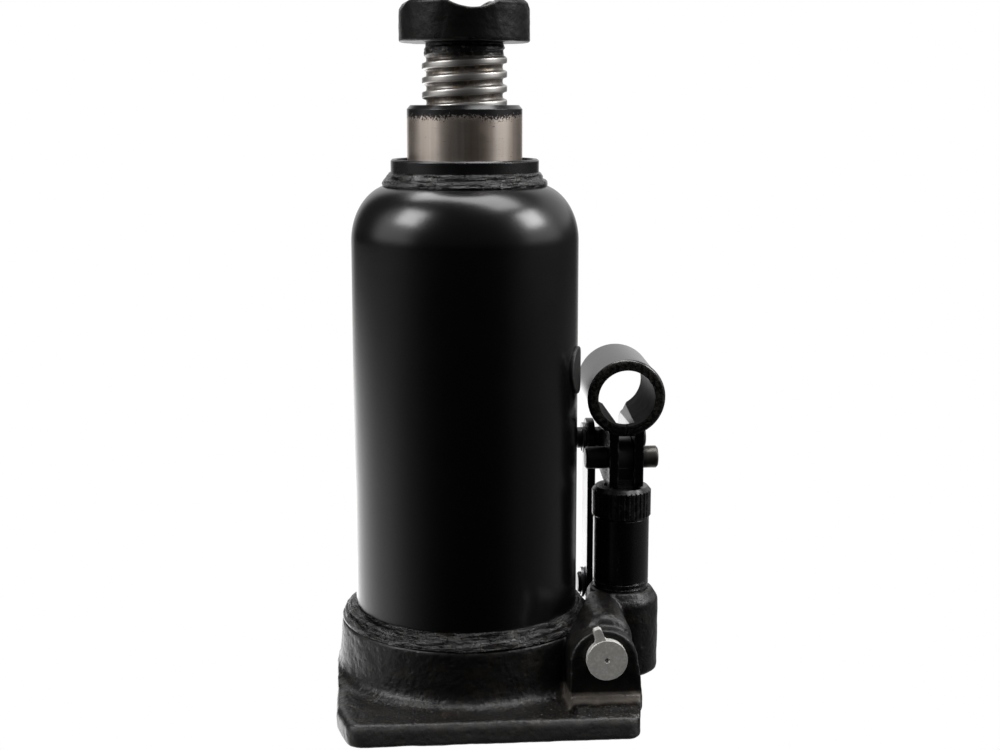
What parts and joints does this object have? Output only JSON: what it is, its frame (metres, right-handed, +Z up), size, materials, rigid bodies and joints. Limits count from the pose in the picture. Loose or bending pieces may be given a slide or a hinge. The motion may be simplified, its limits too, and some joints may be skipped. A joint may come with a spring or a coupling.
{
  "type": "hydraulic bottle jack",
  "caption": "Hydraulic bottle jack: cylindrical oil tank welded to a cast base, ram with extension screw and notched saddle, side hand pump with tubular handle socket, and release valve.",
  "frame": {"origin": "on the ground under the ram's axis, at the base's flat underside", "axes": "+Z up along the ram, +X towards the hand pump, -Y to the front, where the release valve's head and the handle socket's mouth face"},
  "size_m": [0.1202, 0.1155, 0.252],
  "materials": {
    "cast_black": "rough casting under gloss black paint",
    "weld_black": "weld bead under gloss black paint",
    "tank_black": "semi-gloss black paint",
    "plug_rubber": "matte black rubber",
    "collar_black": "turned steel under black paint",
    "seal_rubber": "dark nitrile rubber",
    "turned_steel": "turned steel",
    "gasket_aluminium": "soft aluminium",
    "pump_black": "semi-gloss black paint",
    "pin_black": "black-oxide steel with painted ends",
    "ring_steel": "dark spring steel",
    "ball_steel": "polished bearing steel",
    "ram_steel": "ground steel, black paint round its top edge",
    "saddle_black": "forged, black paint worn to metal on its edges",
    "thread_steel": "bare rolled thread with grease, black painted neck",
    "plunger_steel": "ground steel",
    "socket_black": "gloss black paint on formed sheet",
    "link_black": "gloss black paint on pressed plate",
    "valve_steel": "bare zinc-plated steel, lightly speckled"
  },
  "bodies": {
    "base": {"base_casting": "cast_black", "base_weld": "weld_black", "reservoir_tank": "tank_black", "filler_plug": "plug_rubber", "neck_weld": "weld_black", "head_nut": "collar_black", "wiper_seal": "seal_rubber", "pressure_cylinder": "turned_steel", "cylinder_gasket": "gasket_aluminium", "pump_barrel": "pump_black", "pump_gland_nut": "pump_black", "gland_packing": "seal_rubber", "anchor_pin": "pin_black", "anchor_pin_rings": "ring_steel", "release_ball": "ball_steel", "suction_ball": "ball_steel", "delivery_ball": "ball_steel", "delivery_spring": "ring_steel", "delivery_cage": "turned_steel"},
    "ram": {"ram": "ram_steel", "cup_seal": "seal_rubber", "cup_washer": "turned_steel", "piston_ring_nut": "turned_steel"},
    "saddle": {"saddle": "saddle_black"},
    "screw": {"extension_screw": "thread_steel"},
    "plunger": {"pump_plunger": "plunger_steel"},
    "socket": {"handle_socket": "socket_black", "plunger_pin": "pin_black", "link_pin": "pin_black", "link_pin_rings": "ring_steel"},
    "links": {"link_left": "link_black", "link_right": "link_black"},
    "valve": {"release_valve_screw": "valve_steel", "release_valve_seal": "seal_rubber"}
  },
  "joints": [
    {"name": "ram_lift", "type": "slide", "parent": "base", "child": "ram", "axis": [0, 0, 1], "range_m": [0, 0.15]},
    {"name": "saddle_lift", "type": "slide", "parent": "ram", "child": "saddle", "axis": [0, 0, 1], "range_m": [-0.0216, 0.0586]},
    {"name": "screw_turn", "type": "hinge", "parent": "saddle", "child": "screw", "pos_m": [0, 0, 0.237], "axis": [0, 0, 1], "range_deg": [-1548, 4212]},
    {"name": "plunger_slide", "type": "slide", "parent": "base", "child": "plunger", "axis": [0, 0, 1], "range_m": [-0.0001, 0.0156]},
    {"name": "handle_swing", "type": "hinge", "parent": "plunger", "child": "socket", "pos_m": [0.0576, -0.004, 0.0867], "axis": [-1, 0, 0], "range_deg": [0, 42]},
    {"name": "link_swing", "type": "hinge", "parent": "socket", "child": "links", "pos_m": [0.0576, 0.018, 0.0897], "axis": [-1, 0, 0], "range_deg": [-46, 0.2]},
    {"name": "valve_turn", "type": "hinge", "parent": "base", "child": "valve", "pos_m": [0.0459, -0.0429, 0.0248], "axis": [0, -1, 0], "range_deg": [0, 360]}
  ],
  "couplings": [
    {"joint": "saddle_lift", "follows": "screw_turn", "m_per_rad": 0.00079577},
    {"joint": "plunger_slide", "follows": "handle_swing", "m_per_rad": 0.02107},
    {"joint": "link_swing", "follows": "handle_swing", "ratio": -1.087}
  ]
}
